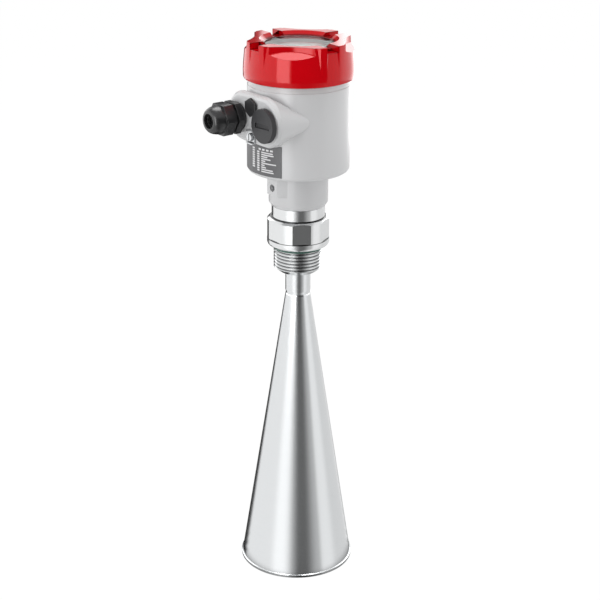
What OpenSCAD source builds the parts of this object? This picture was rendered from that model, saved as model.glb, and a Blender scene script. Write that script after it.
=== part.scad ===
// Radar level transmitter with a threaded process fitting and a conical horn antenna.
// The origin lies on the centre line, in the lower face of the gasket under the collar.
// The horn hangs below it, and the fitting, the housing and the lid stand above it.

/* [Horn] */
// Length from the collar to the mouth of the horn
horn_len = 238.6; // [200:0.5:300]
// Outer diameter of the horn's mouth
horn_mouth_d = 80; // [60:0.5:110]
// Outer diameter of the tube between the thread and the cone
horn_tube_d = 17.2; // [15:0.2:20]
// Length of the tube below the threaded plug
horn_tube_len = 16.1; // [8:0.1:30]
// Thickness of the horn's sheet
horn_wall = 1.5; // [1:0.1:2.5]
// Height of the rolled rim at the mouth
horn_rim_h = 2.2; // [1:0.1:5]
// Diameter of the round waveguide that feeds the horn
guide_d = 10; // [8:0.5:11]
// Length of the plastic feed cone's tip below the waveguide
feed_tip_len = 30; // [15:1:60]

/* [Process fitting] */
// Outside diameter of the process thread
thread_d = 33.25; // [30:0.05:40]
// Pitch of the process thread
thread_pitch = 2.309; // [1.5:0.001:3]
// Length of the threaded plug below the collar
plug_len = 20; // [16:0.5:30]
// Width of the hexagon across its flats
hex_af = 40; // [37:0.5:46]
// Height of the hexagon
hex_h = 15.2; // [10:0.1:20]
// Turn of the hexagon about the centre line
hex_turn = 7; // [0:1:59]
// Diameter of the round sealing collar
collar_d = 42.2; // [40:0.2:50]
// Height of the round sealing collar
collar_h = 4.9; // [4:0.1:10]
// Radius of the collar's lower edge
collar_round = 2.6; // [0.5:0.1:3]
// Outside diameter of the flat gasket
gasket_d = 34.6; // [33:0.2:39]
// Thickness of the flat gasket
gasket_t = 1.8; // [1:0.1:3]
// Diameter of the steel neck above the hexagon
neck_tube_d = 36; // [33:0.5:38]
// Height of the steel neck above the hexagon
neck_tube_h = 8; // [5:0.5:14]
// Diameter of the spigot that the housing turns on
spigot_d = 30.2; // [28:0.1:32]
// Length of the spigot inside the housing's neck
spigot_len = 23; // [22:0.5:26]

/* [Housing] */
// Outer diameter of the housing
body_d = 68; // [64:0.5:80]
// Height of the housing between its floor and the lid
body_h = 62; // [56:0.5:80]
// Thickness of the housing's wall at the lid thread
body_wall = 3; // [2.5:0.1:3.5]
// Thickness of the housing's floor
floor_t = 4.8; // [4:0.1:7]
// Outer diameter of the housing's neck
neck_d = 40; // [39:0.5:46]
// Height of the housing's neck
neck_h = 24.8; // [24:0.1:34]
// Rounding of the housing's lower edge
body_round = 2.2; // [1:0.1:4]

/* [Cable entries] */
// Direction that the entries face, from the +X axis
entry_dir = -141.2; // [-180:0.1:180]
// Distance of each entry from the middle of the entry face
entry_off = 15.6; // [15:0.1:16.4]
// Distance of the entry face from the centre line
entry_face = 38.5; // [37:0.1:42]
// Depth of the entries below the lid's lower edge
entry_drop = 23.6; // [22:0.1:26]
// Radius of the entry block's round ends
block_r = 16.6; // [16:0.1:19]
// Distance of the block's round ends from its middle
block_off = 11.5; // [9:0.1:12]
// Height of the block's middle above the entries
block_up = 0.7; // [0:0.1:3]
// Depth of the rounding around the entry face
block_round = 2.9; // [1:0.1:4]
// Diameter of the thread in each entry
entry_thread_d = 16; // [14:0.1:16.6]
// Width of the gland's hexagons across their flats
gland_af = 20; // [19:0.5:22]
// Length of the gland's collar behind its hexagon
gland_collar_len = 0.9; // [0.5:0.1:6]
// Length of the fixed hexagon
gland_hex_len = 4.8; // [4:0.1:8]
// Length of the hexagon on the dome nut
nut_hex_len = 7.4; // [6:0.2:10]
// Length of the dome in front of the nut's hexagon
dome_len = 7.8; // [5:0.1:10]
// Diameter of the cable opening in the gland's rubber insert
cable_d = 9; // [7:0.1:9.4]
// Diameter of the blind plug's head
plug_head_d = 22.4; // [20:0.2:23.2]
// Thickness of the blind plug's head
plug_head_t = 3.5; // [2.5:0.1:5]

/* [Lid] */
// Outer diameter of the lid at its lower edge
lid_d = 73.4; // [72:0.2:90]
// Height of the lid
lid_h = 25.5; // [23:0.1:30]
// Height of the lid's thread on the housing
lid_thread_h = 12; // [9:0.5:13]
// Pitch of the lid's thread
lid_pitch = 2.5; // [1.5:0.1:3]
// Diameter of the sight window's clear opening
window_d = 45; // [40:0.5:46]
// Diameter of the bevel around the window at the top of the lid
bevel_d = 51.6; // [48:0.2:54]
// Thickness of the window glass
glass_t = 5; // [4:0.1:6]
// Turn of the lid's pattern of grips about the centre line
lid_turn = 37; // [0:1:89]
// Distance of the big pockets' inner wall from the centre line
pocket_wall = 29.6; // [28.8:0.1:31]
// Radius of the big pockets' inner wall
pocket_r = 46; // [30:1:80]
// Slope of the big pockets' floor
pocket_slope = 34.3; // [20:0.1:45]
// Height of the big pockets' outer rim
pocket_rim_h = 18.3; // [17.5:0.1:20]
// Height of the small notches' floor
notch_h = 21.4; // [20:0.1:23]
// Width of the small notches
notch_w = 9.1; // [6:0.1:11]
// Angle between each grip rib and the middle of its pair
rib_spread = 11.3; // [10.5:0.1:13]
// Width of each grip rib's face
rib_w = 5; // [3:0.1:6]

/* [Inside] */
// Diameter of the electronics module
module_d = 54; // [44:0.5:56]
// Height of the display module
display_h = 20; // [14:0.5:22]
// Travel of the display's keys
key_travel = 0.6; // [0.3:0.1:1]

/* [Clearances] */
// Gap between surfaces that move past each other
gap = 0.3; // [0.2:0.05:0.4]
// Radial gap between the spigot and the housing's neck
swivel_gap = 0.08; // [0.02:0.01:0.1]
// Radial gap between a screw and its hole
screw_gap = 0.05; // [0.02:0.01:0.1]

/* [Hidden] */

steel = [0.78, 0.79, 0.80];
zinc = [0.70, 0.71, 0.72];
grey = [0.82, 0.83, 0.84];
black = [0.10, 0.10, 0.11];
dark = [0.33, 0.33, 0.34];
red = [0.78, 0.02, 0.07];
green = [0.18, 0.42, 0.33];

// Heights along the centre line, from the horn up to the lid
collar_z = gasket_t;
plug_bottom = collar_z - plug_len;
cone_top = plug_bottom - horn_tube_len;
mouth_z = collar_z - horn_len;
hex_z = collar_z + collar_h;
neck_tube_z = hex_z + hex_h;
spigot_z = neck_tube_z + neck_tube_h;
spigot_top = spigot_z + spigot_len;
neck_z = spigot_z + gap;
body_z = spigot_z + neck_h;
floor_z = body_z + floor_t;
lid_z = body_z + body_h;
rim_z = lid_z + lid_thread_h;
entry_z = lid_z - entry_drop;
lock_z = spigot_z + 14.8;
lock_dir = entry_dir - 1;

// Radii that several pieces share
body_r = body_d / 2;
neck_r = neck_d / 2;
tube_r = horn_tube_d / 2;
mouth_r = horn_mouth_d / 2;
guide_r = guide_d / 2;
spigot_r = spigot_d / 2;
lid_r = max(lid_d / 2, body_r + 2.7);
pocket_x = pocket_wall + lid_r - lid_d / 2;
collar_thread_r = body_r - 1.1;
cavity_r = collar_thread_r - body_wall;
thread_r = thread_d / 2;
thread_depth = 0.64 * thread_pitch;

// Stations along an entry's own axis, measured from the centre line
seal_t = 0.8;
gland_hex_x = entry_face + seal_t + gland_collar_len;
gland_gap_x = gland_hex_x + gland_hex_len;
nut_x = gland_gap_x + 1.8;
dome_x = nut_x + nut_hex_len;
dome_end_x = dome_x + dome_len;
entry_r = entry_thread_d / 2;
plug_head_x = entry_face + seal_t;
insert_x = gland_gap_x + 4;
stem_len = 8;
insert_end_x = dome_end_x - 2.6;

// Sizes of the window and the pieces that hold it
window_r = window_d / 2;
bevel_r = bevel_d / 2;
glass_top = lid_h - 2.8;
glass_r = window_r + 3.6;
gasket_w = 1.2;
retainer_h = 2.6;
lid_bore_r = collar_thread_r + gap;
lid_cavity_h = lid_thread_h + 1.5;

// The display stands under the window, with a gap to the retainer
display_top = lid_z + glass_top - glass_t - retainer_h - gap;
display_z = display_top - display_h;
display_r = window_r + 0.5;
key_r = 2.6;
key_h = 2;
module_top = entry_z - entry_r - 3;
block_h = 9;
block_w = 30;
block_l = 36;

fine = 96;
medium = 48;

// Turns the children so that their +X axis points out of the entry face
module on_entry_face(y = 0, z = 0) {
    rotate([0, 0, entry_dir])
        translate([0, y, entry_z + z])
            children();
}

// A cylinder along +X that starts at x
module rod_x(x, len, r, fn = medium) {
    translate([x, 0, 0])
        rotate([0, 90, 0])
            cylinder(h = len, r = r, $fn = fn);
}

// A hexagonal bar along +X: turn = 0 has a corner up, turn = 30 has a flat up
module hex_x(x, len, af, turn = 0) {
    translate([x, 0, 0])
        rotate([0, 90, 0])
            rotate([0, 0, turn])
                cylinder(h = len, r = af / sqrt(3), $fn = 6);
}

// A flat ring from z up, between two radii
module ring(z, h, r_in, r_out, fn = fine) {
    translate([0, 0, z])
        difference() {
            cylinder(h = h, r = r_out, $fn = fn);
            translate([0, 0, -1])
                cylinder(h = h + 2, r = r_in, $fn = fn);
        }
}

// A pan-head screw along -Z whose head's underside lies at z = 0
module pan_screw(r, len, head_r, head_h) {
    difference() {
        union() {
            translate([0, 0, -len])
                cylinder(h = len, r = r, $fn = 24);
            cylinder(h = head_h, r = head_r, $fn = 32);
        }
        translate([-head_r, -0.4, head_h * 0.5])
            cube([2 * head_r, 0.8, head_h]);
    }
}

// Horn: a spigot in the fitting, a tube, the cone and a rolled rim
module horn_antenna() {
    slope = (mouth_r - tube_r) / (cone_top - mouth_z);
    inner_mouth = mouth_r - horn_wall;
    color(steel)
        rotate_extrude($fn = fine)
            polygon([
                [guide_r, plug_bottom + 8], [guide_r + 2, plug_bottom + 8],
                [guide_r + 2, plug_bottom], [tube_r, plug_bottom],
                [tube_r, cone_top + 3], [tube_r - 0.35, cone_top + 1.5],
                [tube_r - 0.35, cone_top + 0.8], [tube_r, cone_top],
                [mouth_r - 0.5 - slope * horn_rim_h, mouth_z + horn_rim_h],
                [mouth_r, mouth_z + horn_rim_h - 0.4], [mouth_r, mouth_z],
                [inner_mouth, mouth_z],
                [guide_r, cone_top - (guide_r - tube_r + horn_wall) / slope]
            ]);
}

// Feed cone: a plastic rod in the waveguide with a long pointed tip in the horn
module feed_cone() {
    tip_z = cone_top - feed_tip_len;
    color("white")
        rotate_extrude($fn = medium)
            polygon([
                [0, plug_bottom + 14], [guide_r - 0.05, plug_bottom + 14],
                [guide_r - 0.05, cone_top], [0.8, tip_z], [0, tip_z]
            ]);
}

// Seal around the feed cone, in a groove of the fitting's bore
module feed_seal() {
    color(black)
        ring(plug_bottom + 10, 1.8, guide_r, guide_r + 1.5, medium);
}

// Waveguide: a tube through the fitting, up to the electronics
module waveguide() {
    bottom = plug_bottom + 14.2;
    color(zinc)
        ring(bottom, floor_z + 2 - bottom, guide_r - 1.5, guide_r, medium);
}

// Process fitting: threaded plug, sealing collar, hexagon, neck and spigot in one turned piece
module process_fitting() {
    collar_r = collar_d / 2;
    round_r = collar_r - collar_round;
    corner_r = collar_r - 0.15;
    root = 1;
    color(steel)
        difference() {
            union() {
                rotate_extrude($fn = fine)
                    polygon(concat(
                        [[0, plug_bottom], [thread_r - 6.3, plug_bottom],
                         [thread_r - 4.2, plug_bottom + 1], [thread_r, plug_bottom + 4.2],
                         [thread_r, 0], [thread_r - thread_depth, 0],
                         [thread_r - thread_depth, collar_z], [round_r, collar_z]],
                        [for (a = [15:15:75])
                            [round_r + collar_round * sin(a),
                             collar_z + collar_round - collar_round * cos(a)]],
                        [[collar_r, collar_z + collar_round], [collar_r, hex_z], [0, hex_z]]
                    ));
                intersection() {
                    translate([0, 0, hex_z - root])
                        rotate([0, 0, hex_turn])
                            cylinder(h = hex_h + root, r = hex_af / sqrt(3), $fn = 6);
                    rotate_extrude($fn = fine)
                        polygon([
                            [0, hex_z - root], [corner_r, hex_z - root], [corner_r, neck_tube_z - 1.6],
                            [hex_af / 2 - 0.9, neck_tube_z], [0, neck_tube_z]
                        ]);
                }
                translate([0, 0, neck_tube_z - root])
                    cylinder(h = neck_tube_h + root, d = neck_tube_d, $fn = fine);
                translate([0, 0, spigot_z - root])
                    cylinder(h = spigot_len + root, r = spigot_r, $fn = fine);
            }
            thread_grooves();
            translate([0, 0, plug_bottom - 1])
                cylinder(h = 9, r = guide_r + 2 + screw_gap, $fn = medium);
            translate([0, 0, plug_bottom - 1])
                cylinder(h = plug_len + spigot_top + 2, r = guide_r + screw_gap, $fn = medium);
            ring(plug_bottom + 9.9, 2, guide_r - 1, guide_r + 1.6, medium);
            ring(spigot_z + 3.8, 2.6, spigot_r - 1.9, spigot_r + 1);
            ring(lock_z - 2.9, 5.8, spigot_r - 0.6, spigot_r + 1);
            ring(spigot_top - 4, 1.8, spigot_r - 1.5, spigot_r + 1);
        }
}

// Ring-shaped grooves that stand for the process thread's turns
module thread_grooves() {
    turns = floor((plug_len - gasket_t - 4.2) / thread_pitch);
    for (i = [0 : turns - 1])
        translate([0, 0, -thread_pitch * (i + 0.6)])
            rotate_extrude($fn = fine)
                polygon([
                    [thread_r - thread_depth, 0.12], [thread_r + 1, thread_pitch * 0.62],
                    [thread_r + 1, -thread_pitch * 0.62], [thread_r - thread_depth, -0.12]
                ]);
}

// Flat gasket under the collar, around the relief above the thread
module process_seal() {
    color(green)
        ring(0, gasket_t, thread_r - thread_depth + 0.1, gasket_d / 2);
}

// O-ring between the spigot and the housing's neck
module neck_seal() {
    color(black)
        ring(spigot_z + 4, 2.2, spigot_r - 1.8, spigot_r - 0.1);
}

// Retaining ring that keeps the housing on the spigot
ring_r = spigot_r + 2.2;
module retaining_ring() {
    color(zinc)
        difference() {
            ring(spigot_top - 3.9, 1.6, spigot_r - 1.4, ring_r);
            translate([0, -1.5, spigot_top - 6])
                cube([2 * ring_r, 3, 6]);
        }
}

// Round body of the housing: its neck, the wall and the collar that the lid screws on
neck_fillet = 2.5;
module housing_outer() {
    rotate_extrude($fn = fine)
        polygon(concat(
            [[0, neck_z], [neck_r - 1.6, neck_z], [neck_r, neck_z + 2.4],
             [neck_r, body_z - neck_fillet]],
            [for (a = [22.5:22.5:90])
                [neck_r + neck_fillet - neck_fillet * cos(a), body_z - neck_fillet + neck_fillet * sin(a)]],
            [[body_r - body_round, body_z]],
            [for (a = [22.5:22.5:67.5])
                [body_r - body_round + body_round * sin(a), body_z + body_round - body_round * cos(a)]],
            [[body_r, body_z + body_round], [body_r, lid_z - 4], [body_r - 0.3, lid_z - 3.8],
             [body_r - 0.3, lid_z - gap], [collar_thread_r, lid_z - gap],
             [collar_thread_r, rim_z - 0.6], [collar_thread_r - 0.6, rim_z], [0, rim_z]]
        ));
}

// Block that carries both entries: a rounded face that tapers back to a point on either side
wing_angle = 57.5;
wing_r = 4.5;
module entry_block() {
    on_entry_face(0, block_up)
        hull() {
            for (side = [-1, 1]) {
                translate([0, side * block_off, 0]) {
                    rod_x(entry_face - 1, 1, block_r - block_round, 64);
                    rod_x(entry_face - 1.8, 1, block_r - block_round * 0.4, 64);
                    rod_x(entry_face - block_round - 0.6, 0.6, block_r, 64);
                }
                rotate([0, 0, side * wing_angle])
                    translate([body_r - 2, 0, 0])
                        rotate([0, 90, 0])
                            cylinder(h = 1.2, r = wing_r, $fn = 32);
            }
        }
}

// Boss of the swivel's lock screw: a flat pad whose flanks run out along the neck
boss_w = 11;
boss_out = 2;
boss_drop = 15;
module lock_boss() {
    rotate([0, 0, lock_dir])
        translate([0, 0, body_z - boss_drop])
            hull() {
                translate([neck_r, -boss_w / 2, 0])
                    cube([boss_out, boss_w, boss_drop + 1]);
                cylinder(h = boss_drop + 1, r = neck_r - 0.6, $fn = fine);
            }
}

// Housing: one moulding with the cavity, the neck, the entry block and the lid's collar
module housing() {
    color(grey)
        difference() {
            union() {
                housing_outer();
                entry_block();
                lock_boss();
            }
            translate([0, 0, floor_z])
                cylinder(h = body_h + lid_thread_h, r = cavity_r, $fn = fine);
            translate([0, 0, neck_z - 1])
                cylinder(h = spigot_len + 1.5, r = spigot_r + swivel_gap, $fn = fine);
            translate([0, 0, neck_z])
                cylinder(h = floor_z - neck_z + 1, r = spigot_r - 3, $fn = fine);
            ring(spigot_top - 4.2, 2.2, spigot_r - 1, ring_r + gap);
            rotate([0, 0, lock_dir])
                translate([0, 0, lock_z])
                    rod_x(spigot_r - 2, 12, 2.5 + screw_gap, 32);
            on_entry_face() {
                for (side = [-1, 1])
                    translate([0, side * entry_off, 0])
                        rod_x(12, 30, entry_r + screw_gap);
            }
            on_entry_face(breather_y, breather_up)
                rod_x(entry_face - 20, 21, breather_r + screw_gap, 32);
            on_entry_face(ground_y, -ground_down)
                rod_x(entry_face - 7, 9, ground_screw_r + screw_gap, 24);
            flange_screw_holes();
        }
}

// Lock screw: a headless screw in the neck's boss
module lock_screw() {
    color(zinc)
        rotate([0, 0, lock_dir])
            translate([0, 0, lock_z])
                difference() {
                    rod_x(spigot_r - 0.3, 4.9, 2.5, 32);
                    hex_x(spigot_r + 2.3, 4, 2.5);
                }
}

// Type plate: a thin curved sheet on the housing's wall, below the entries
plate_half_angle = 36.4;
plate_dir = entry_dir - 3.8;
plate_h = 20.9;
plate_t = 0.4;
module type_plate() {
    color(dark)
        difference() {
            rotate([0, 0, plate_dir - plate_half_angle])
                translate([0, 0, body_z + body_round])
                    rotate_extrude(angle = 2 * plate_half_angle, $fn = fine)
                        translate([body_r, 0])
                            square([plate_t, plate_h]);
            on_entry_face(0, block_up) {
                for (side = [-1, 1])
                    translate([0, side * block_off, 0])
                        rod_x(body_r / 2, body_r, block_r + gap, fine);
                translate([body_r / 2, -block_off, -block_r - gap])
                    cube([body_r, 2 * block_off, 2 * block_r]);
            }
        }
}

// External ground terminal: a clamp with a lip above and below, under a slotted screw
ground_down = 10.4;
ground_y = 0.2;
clamp_w = 6.8;
clamp_h = 9;
clamp_t = 1.2;
ground_screw_r = 1.5;
module ground_clamp() {
    color(zinc)
        on_entry_face(ground_y, -ground_down)
            difference() {
                translate([entry_face, -clamp_w / 2, -clamp_h / 2])
                    difference() {
                        cube([clamp_t + 1.8, clamp_w, clamp_h]);
                        translate([clamp_t, -1, 0.8])
                            cube([clamp_t + 3, clamp_w + 2, clamp_h - 1.6]);
                    }
                rod_x(entry_face - 1, 5, ground_screw_r + screw_gap, 24);
            }
}

module ground_screw() {
    color(zinc)
        on_entry_face(ground_y, -ground_down)
            translate([entry_face + clamp_t, 0, 0])
                rotate([0, 90, 0])
                    pan_screw(ground_screw_r, 7, 2.5, 1.8);
}

// Breather: a hexagonal cap with a stem through the housing's wall, on its own seal
breather_y = 0.2;
breather_up = 9;
breather_af = 11;
breather_r = 3;
module breather_cap() {
    color(black)
        on_entry_face(breather_y, breather_up)
            difference() {
                union() {
                    hex_x(entry_face + 0.6, 1.6, breather_af);
                    rod_x(entry_face - 6, 7, breather_r, 32);
                }
                rod_x(entry_face - 7, 6, 1.6, 24);
            }
}

module breather_seal() {
    color(dark)
        on_entry_face(breather_y, breather_up)
            difference() {
                rod_x(entry_face, 0.6, 4.4, 32);
                rod_x(entry_face - 1, 3, breather_r + screw_gap, 32);
            }
}

// Cable gland, fixed part: threaded stem, collar, hexagon and the stem for the dome nut
gland_collar_r = entry_r + 1.5;
module gland_body() {
    color(black)
        on_entry_face(-entry_off)
            difference() {
                union() {
                    rod_x(entry_face - 8, gland_hex_x + 9 - entry_face, entry_r);
                    rod_x(entry_face + seal_t, gland_collar_len + 1, gland_collar_r);
                    hex_x(gland_hex_x, gland_hex_len, gland_af, 30);
                    rod_x(gland_gap_x - 1, stem_len + 1, entry_r + 0.2);
                }
                rod_x(entry_face - 9, insert_x - entry_face + 10, cable_d / 2 + 0.8);
                rod_x(insert_x, stem_len, entry_r - 1.2);
            }
}

// Flat seal between the gland's collar and the entry face
module gland_body_seal() {
    color(dark)
        on_entry_face(-entry_off)
            difference() {
                rod_x(entry_face, seal_t, gland_collar_r);
                rod_x(entry_face - 1, seal_t + 2, entry_r + screw_gap);
            }
}

// Rubber insert that the dome nut presses around the cable
insert_r = 6.3;
module gland_insert() {
    color(dark)
        on_entry_face(-entry_off)
            difference() {
                rod_x(insert_x + gap, insert_end_x - insert_x - gap, insert_r);
                rod_x(insert_x - 1, 20, cable_d / 2);
            }
}

// Dome nut of the gland
module gland_nut() {
    dome_base = gland_af / 2 - 0.6;
    nut_mouth_r = cable_d / 2 + 0.4;
    dome_mouth = nut_mouth_r + 1;
    color(black)
        on_entry_face(-entry_off)
            difference() {
                union() {
                    intersection() {
                        hex_x(nut_x, nut_hex_len, gland_af, 30);
                        rod_x(nut_x, nut_hex_len, gland_af / sqrt(3) - 0.2, fine);
                    }
                    translate([dome_x, 0, 0])
                        rotate([0, 90, 0])
                            rotate_extrude($fn = medium)
                                polygon(concat(
                                    [[0, -1], [dome_base, -1]],
                                    [for (a = [12:12:78])
                                        [dome_mouth + (dome_base - dome_mouth) * cos(a),
                                         dome_len * sin(a)]],
                                    [[dome_mouth, dome_len], [0, dome_len]]
                                ));
                }
                rod_x(nut_x - 1, stem_len - 0.4, entry_r + 0.2 + gap);
                rod_x(nut_x, insert_end_x + gap - nut_x, insert_r + gap);
                rod_x(dome_x, dome_len + 1, nut_mouth_r);
            }
}

// Blind plug: round head with a coin slot, on its own seal
plug_slot_l = 14.5;
plug_slot_w = 3.2;
plug_slot_turn = 3;
module blind_plug() {
    color(dark)
        on_entry_face(entry_off)
            difference() {
                union() {
                    rod_x(plug_head_x, plug_head_t, plug_head_d / 2, fine);
                    rod_x(entry_face - 8, 9, entry_r);
                }
                rod_x(entry_face - 9, 6, entry_r - 2);
                rotate([plug_slot_turn, 0, 0])
                    translate([plug_head_x + plug_head_t - 1.3, -plug_slot_l / 2, -plug_slot_w / 2])
                        cube([3, plug_slot_l, plug_slot_w]);
            }
}

module plug_seal() {
    color(black)
        on_entry_face(entry_off)
            difference() {
                rod_x(entry_face, seal_t, entry_r + 1.8);
                rod_x(entry_face - 1, seal_t + 2, entry_r + screw_gap);
            }
}

// Electronics module: a potted cup whose flange is screwed to the housing's floor
module_flange_r = cavity_r - gap;
module_flange_t = 4;
flange_z = floor_z + module_flange_t;
screw_seat_z = flange_z - 0.5;
module_screw_dirs = [0, 120, 240];
ground_dir = 60;
module electronics_module() {
    color(black)
        difference() {
            union() {
                translate([0, 0, flange_z])
                    cylinder(h = module_top - flange_z, d = module_d, $fn = fine);
                translate([0, 0, floor_z])
                    cylinder(h = module_flange_t, r = module_flange_r, $fn = fine);
            }
            translate([0, 0, floor_z - 1])
                cylinder(h = 4.2, r = guide_r + 1, $fn = medium);
            flange_screw_holes();
            at_flange(concat(module_screw_dirs, [ground_dir]))
                translate([0, 0, screw_seat_z])
                    cylinder(h = body_h, r = 3.2, $fn = 32);
        }
}

// Puts the children at the screws of the module's flange
module at_flange(dirs) {
    for (a = dirs)
        rotate([0, 0, a])
            translate([module_flange_r - 3.8, 0, 0])
                children();
}

// Holes for all the flange's screws, through the flange and into the housing's floor
module flange_screw_holes() {
    at_flange(concat(module_screw_dirs, [ground_dir]))
        translate([0, 0, floor_z - 3])
            cylinder(h = module_flange_t + 4, r = 1.5 + screw_gap, $fn = 24);
}

module electronics_screws() {
    color(zinc)
        at_flange(module_screw_dirs)
            translate([0, 0, screw_seat_z])
                pan_screw(1.5, 6, 2.6, 2);
}

// Ground screw inside the housing, on the module's flange
module inner_ground_screw() {
    color(zinc)
        at_flange([ground_dir])
            translate([0, 0, screw_seat_z])
                pan_screw(1.5, 6, 2.9, 3);
}

// Terminal block on the electronics module, with a row of screws
screw_pitch = 6;
module terminal_block() {
    color([0.25, 0.35, 0.45])
        difference() {
            translate([-block_w / 2, -block_l / 2, module_top])
                cube([block_w, block_l, block_h]);
            for (i = [-2.5:1:2.5])
                translate([-block_w / 2 + 6, i * screw_pitch, module_top + 3])
                    cylinder(h = block_h, r = 2 + screw_gap, $fn = 24);
            for (i = [-2.5:1:2.5])
                translate([-block_w / 2 - 1, i * screw_pitch - 1.8, module_top + 1])
                    cube([4, 3.6, 3.6]);
        }
}

module terminal_screws() {
    color(zinc)
        for (i = [-2.5:1:2.5])
            translate([-block_w / 2 + 6, i * screw_pitch, module_top + 3])
                difference() {
                    cylinder(h = block_h - 4, r = 2, $fn = 24);
                    translate([-2, -0.4, block_h - 5])
                        cube([4, 0.8, 2]);
                }
}

// Display module: a round case on a stem, with a screen and four keys
screen_w = 34;
screen_l = 17;
screen_y = 6;
key_pitch = 8;
key_y = -13;
module display_module() {
    stem_z = module_top + block_h;
    color(grey)
        difference() {
            union() {
                translate([0, 0, display_z])
                    cylinder(h = display_h, r = display_r, $fn = fine);
                translate([3, -6, stem_z])
                    cube([10, 12, display_z - stem_z + 1]);
            }
            rotate([0, 0, display_dir]) {
                translate([-screen_w / 2, screen_y - screen_l / 2, display_top - 1.5])
                    cube([screen_w, screen_l, 3]);
                for (i = [-1.5:1:1.5])
                    translate([i * key_pitch, key_y, display_top - 4])
                        cylinder(h = 6, r = key_r + 0.1, $fn = 32);
            }
        }
}

display_dir = 0;
module display_screen() {
    color([0.55, 0.60, 0.55])
        rotate([0, 0, display_dir])
            translate([-screen_w / 2 + 0.1, screen_y - screen_l / 2 + 0.1, display_top - 1.5])
                cube([screen_w - 0.2, screen_l - 0.2, 1.4]);
}

// One of the display's four keys
module key(i) {
    color(dark)
        rotate([0, 0, display_dir])
            translate([(i - 1.5) * key_pitch, key_y, display_top - 4 + key_travel + 0.1])
                cylinder(h = 4 - 0.1, r = key_r, $fn = 32);
}

// Seal ring in the lid's lower recess
module lid_seal() {
    color(black)
        ring(lid_z + 0.8, 2, lid_bore_r, lid_bore_r + 1.1);
}

// Drafted skirt of the lid, before the pockets and notches are cut
module lid_skirt() {
    rotate_extrude($fn = 144)
        polygon([
            [0, 0], [lid_r - 1.4, 0], [lid_r - 0.4, 0.5], [lid_r, 1.6],
            [lid_r, 6], [lid_r - 0.2, 10], [lid_r - 1.7, lid_h + 1], [0, lid_h + 1]
        ]);
}

// Grip rib: an upright bar whose face stands proud of the drafted skirt towards the top
rib_face_r = lid_r - 0.35;
module grip_rib() {
    root_r = lid_r - 2.6;
    intersection() {
        translate([0, 0, 3])
            linear_extrude(height = lid_h)
                polygon([
                    [bevel_r + 2, -rib_w], [root_r, -rib_w], [lid_r, -rib_w / 2 + 0.8],
                    [lid_r, rib_w / 2 - 0.8], [root_r, rib_w], [bevel_r + 2, rib_w]
                ]);
        translate([0, 0, 2])
            cylinder(h = lid_h + 4, r = rib_face_r, $fn = 144);
    }
}

// What is cut off above the lid's flat top and its chamfered outer edge
module lid_top_cut() {
    chamfer = 0.5;
    rotate_extrude($fn = 144)
        polygon([
            [0, lid_h], [rib_face_r - chamfer, lid_h], [rib_face_r + 1, lid_h - chamfer - 1],
            [lid_r + 2, lid_h - chamfer - 1], [lid_r + 2, lid_h + 5], [0, lid_h + 5]
        ]);
}

// Big pocket: an upright round wall and a floor that slopes down to the outside
module big_pocket() {
    rim_x = lid_r - 0.9;
    rise = tan(pocket_slope) * 20;
    intersection() {
        translate([pocket_x + pocket_r, 0, 0])
            cylinder(h = 2 * lid_h, r = pocket_r, $fn = 144);
        translate([0, 30, 0])
            rotate([90, 0, 0])
                linear_extrude(height = 60)
                    polygon([
                        [rim_x - 20, pocket_rim_h + rise], [rim_x + 10, pocket_rim_h - rise / 2],
                        [rim_x + 10, 2 * lid_h], [rim_x - 20, 2 * lid_h]
                    ]);
    }
}

// Lid: skirt, four pairs of grip ribs with notches, four pockets, thread bore and window seat
module lid() {
    color(red)
        translate([0, 0, lid_z])
            difference() {
                union() {
                    lid_skirt();
                    for (q = [0:90:270], side = [-1, 1])
                        rotate([0, 0, q + lid_turn + side * rib_spread - 90])
                            grip_rib();
                }
                lid_top_cut();
                for (q = [0:90:270]) {
                    rotate([0, 0, q + lid_turn - 45])
                        big_pocket();
                    rotate([0, 0, q + lid_turn - 90])
                        translate([pocket_x - 1, -notch_w / 2, notch_h])
                            cube([lid_r, notch_w, lid_h]);
                }
                translate([0, 0, -1])
                    cylinder(h = lid_cavity_h + 1, r = lid_bore_r, $fn = fine);
                translate([0, 0, 0.5])
                    cylinder(h = 2.5, r = lid_bore_r + 1.2, $fn = fine);
                translate([0, 0, lid_cavity_h - 1])
                    cylinder(h = 3, r = glass_r + 2, $fn = fine);
                cylinder(h = glass_top, r = glass_r + gasket_w, $fn = fine);
                cylinder(h = 2 * lid_h, r = window_r, $fn = fine);
                rotate_extrude($fn = fine)
                    polygon([
                        [0, glass_top - 1], [window_r - 1, glass_top - 1],
                        [bevel_r, lid_h - 0.2], [bevel_r + 0.6, lid_h + 0.4], [0, lid_h + 0.4]
                    ]);
            }
}

// Sight window
module window_glass() {
    color([0.75, 0.80, 0.82, 0.5])
        translate([0, 0, lid_z + glass_top - glass_t])
            cylinder(h = glass_t, r = glass_r, $fn = fine);
}

// Gasket around the window's edge
module window_gasket() {
    color(black)
        ring(lid_z + glass_top - glass_t, glass_t, glass_r, glass_r + gasket_w);
}

// Retaining ring below the window
module window_retainer() {
    color(dark)
        ring(lid_z + glass_top - glass_t - retainer_h, retainer_h, window_r + 1, glass_r + gasket_w);
}

horn_antenna();
feed_cone();
feed_seal();
waveguide();
process_fitting();
process_seal();
neck_seal();
retaining_ring();
housing();
lock_screw();
type_plate();
ground_clamp();
ground_screw();
breather_cap();
breather_seal();
gland_body();
gland_body_seal();
gland_insert();
gland_nut();
plug_seal();
blind_plug();
electronics_module();
electronics_screws();
terminal_block();
terminal_screws();
inner_ground_screw();
display_module();
display_screen();
key(0);  // key_1
key(1);  // key_2
key(2);  // key_3
key(3);  // key_4
lid_seal();
lid();
window_glass();
window_gasket();
window_retainer();
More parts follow.
